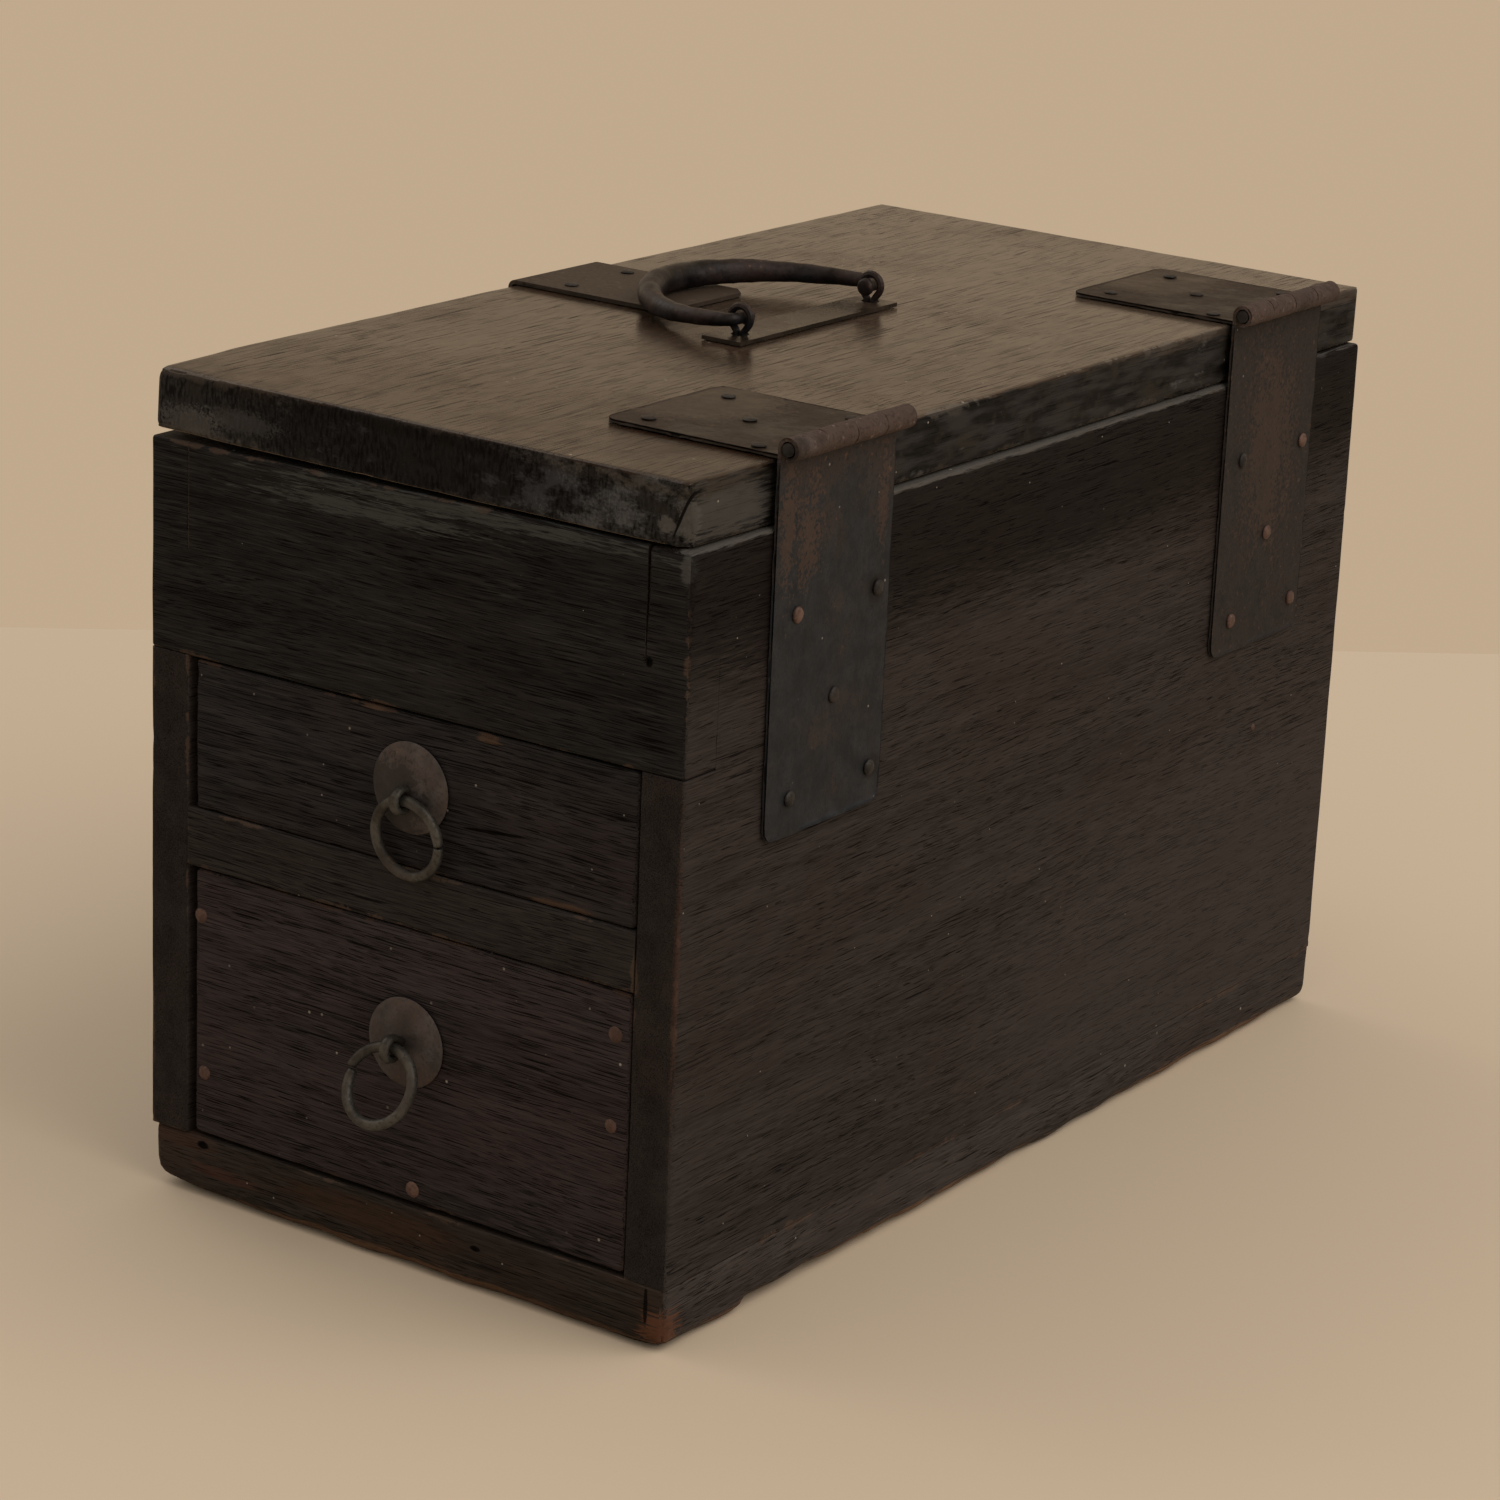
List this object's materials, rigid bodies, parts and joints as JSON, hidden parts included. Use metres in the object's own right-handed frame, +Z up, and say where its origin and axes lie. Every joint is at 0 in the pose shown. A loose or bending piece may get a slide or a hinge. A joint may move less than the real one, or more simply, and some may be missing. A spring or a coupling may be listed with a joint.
{
  "type": "calligraphy box",
  "caption": "Wooden calligraphy box with a hinged lid over a top compartment, stacked drawers with ring pulls, iron strap hinges, a hasp and a bail handle.",
  "frame": {"origin": "middle of the whole footprint, on the ground under the base board", "axes": "+Z up, -Y towards the drawer fronts, +X towards the hinged side"},
  "size_m": [0.2018, 0.3706, 0.246],
  "materials": {
    "case_wood": "worn dark lacquer",
    "lid_wood": "worn oil, rubbed",
    "inner_wood": "bare, aged",
    "dark_iron": "dark, worn",
    "rusty_iron": "rusted",
    "ring_iron": "rubbed",
    "nail_copper": "tarnished"
  },
  "bodies": {
    "carcass": {"base_board": "case_wood", "left_side_board": "case_wood", "right_side_board": "case_wood", "front_board": "case_wood", "back_board": "case_wood", "drawer_shelf": "case_wood", "compartment_floor": "inner_wood", "front_side_strap": "dark_iron", "rear_side_strap": "dark_iron", "front_hinge_pin": "rusty_iron", "rear_hinge_pin": "rusty_iron", "hasp_staple": "dark_iron", "front_strap_nail_1": "nail_copper", "front_strap_nail_2": "nail_copper", "front_strap_nail_3": "nail_copper", "front_strap_nail_4": "nail_copper", "front_strap_nail_5": "nail_copper", "rear_strap_nail_1": "nail_copper", "rear_strap_nail_2": "nail_copper", "rear_strap_nail_3": "nail_copper", "rear_strap_nail_4": "nail_copper", "rear_strap_nail_5": "nail_copper"},
    "lid": {"lid_board": "lid_wood", "front_lid_leaf": "rusty_iron", "rear_lid_leaf": "rusty_iron", "hasp_leaf": "rusty_iron", "hasp_pin": "dark_iron", "handle_plate": "dark_iron", "front_handle_eye": "dark_iron", "rear_handle_eye": "dark_iron", "front_leaf_nail_1": "rusty_iron", "front_leaf_nail_2": "rusty_iron", "front_leaf_nail_3": "rusty_iron", "front_leaf_nail_4": "rusty_iron", "front_leaf_nail_5": "rusty_iron", "rear_leaf_nail_1": "rusty_iron", "rear_leaf_nail_2": "rusty_iron", "rear_leaf_nail_3": "rusty_iron", "rear_leaf_nail_4": "rusty_iron", "rear_leaf_nail_5": "rusty_iron", "hasp_leaf_nail_1": "rusty_iron", "hasp_leaf_nail_2": "rusty_iron"},
    "handle": {"handle_bail": "rusty_iron"},
    "hasp": {"hasp_flap": "dark_iron"},
    "upper_drawer": {"upper_drawer_front": "case_wood", "upper_drawer_left_side": "inner_wood", "upper_drawer_right_side": "inner_wood", "upper_drawer_bottom": "inner_wood", "upper_drawer_back": "inner_wood", "upper_pull_plate": "rusty_iron", "upper_pull_eye": "dark_iron"},
    "upper_ring": {"upper_pull_ring": "ring_iron"},
    "lower_drawer": {"lower_drawer_front": "case_wood", "lower_drawer_left_side": "inner_wood", "lower_drawer_right_side": "inner_wood", "lower_drawer_bottom": "inner_wood", "lower_drawer_back": "inner_wood", "lower_pull_plate": "rusty_iron", "lower_pull_eye": "dark_iron"},
    "lower_ring": {"lower_pull_ring": "ring_iron"}
  },
  "joints": [
    {"name": "lid_hinge", "type": "hinge", "parent": "carcass", "child": "lid", "pos_m": [0.09765, 0.0088, 0.2382], "axis": [0, 1, 0], "range_deg": [0, 179]},
    {"name": "handle_swing", "type": "hinge", "parent": "lid", "child": "handle", "pos_m": [0.00408, 0.0113, 0.24152], "axis": [0, 1, 0], "range_deg": [0, 178]},
    {"name": "hasp_hinge", "type": "hinge", "parent": "lid", "child": "hasp", "pos_m": [-0.08898, 0.0088, 0.22323], "axis": [0, 1, 0], "range_deg": [-18, 140]},
    {"name": "upper_drawer_slide", "type": "slide", "parent": "carcass", "child": "upper_drawer", "axis": [0, -1, 0], "range_m": [0, 0.26]},
    {"name": "upper_ring_swing", "type": "hinge", "parent": "upper_drawer", "child": "upper_ring", "pos_m": [0.00605, -0.1717, 0.13475], "axis": [-1, 0, 0], "range_deg": [-1, 125]},
    {"name": "lower_drawer_slide", "type": "slide", "parent": "carcass", "child": "lower_drawer", "axis": [0, -1, 0], "range_m": [0, 0.26]},
    {"name": "lower_ring_swing", "type": "hinge", "parent": "lower_drawer", "child": "lower_ring", "pos_m": [0.00605, -0.174, 0.0656], "axis": [-1, 0, 0], "range_deg": [-40, 97]}
  ]
}
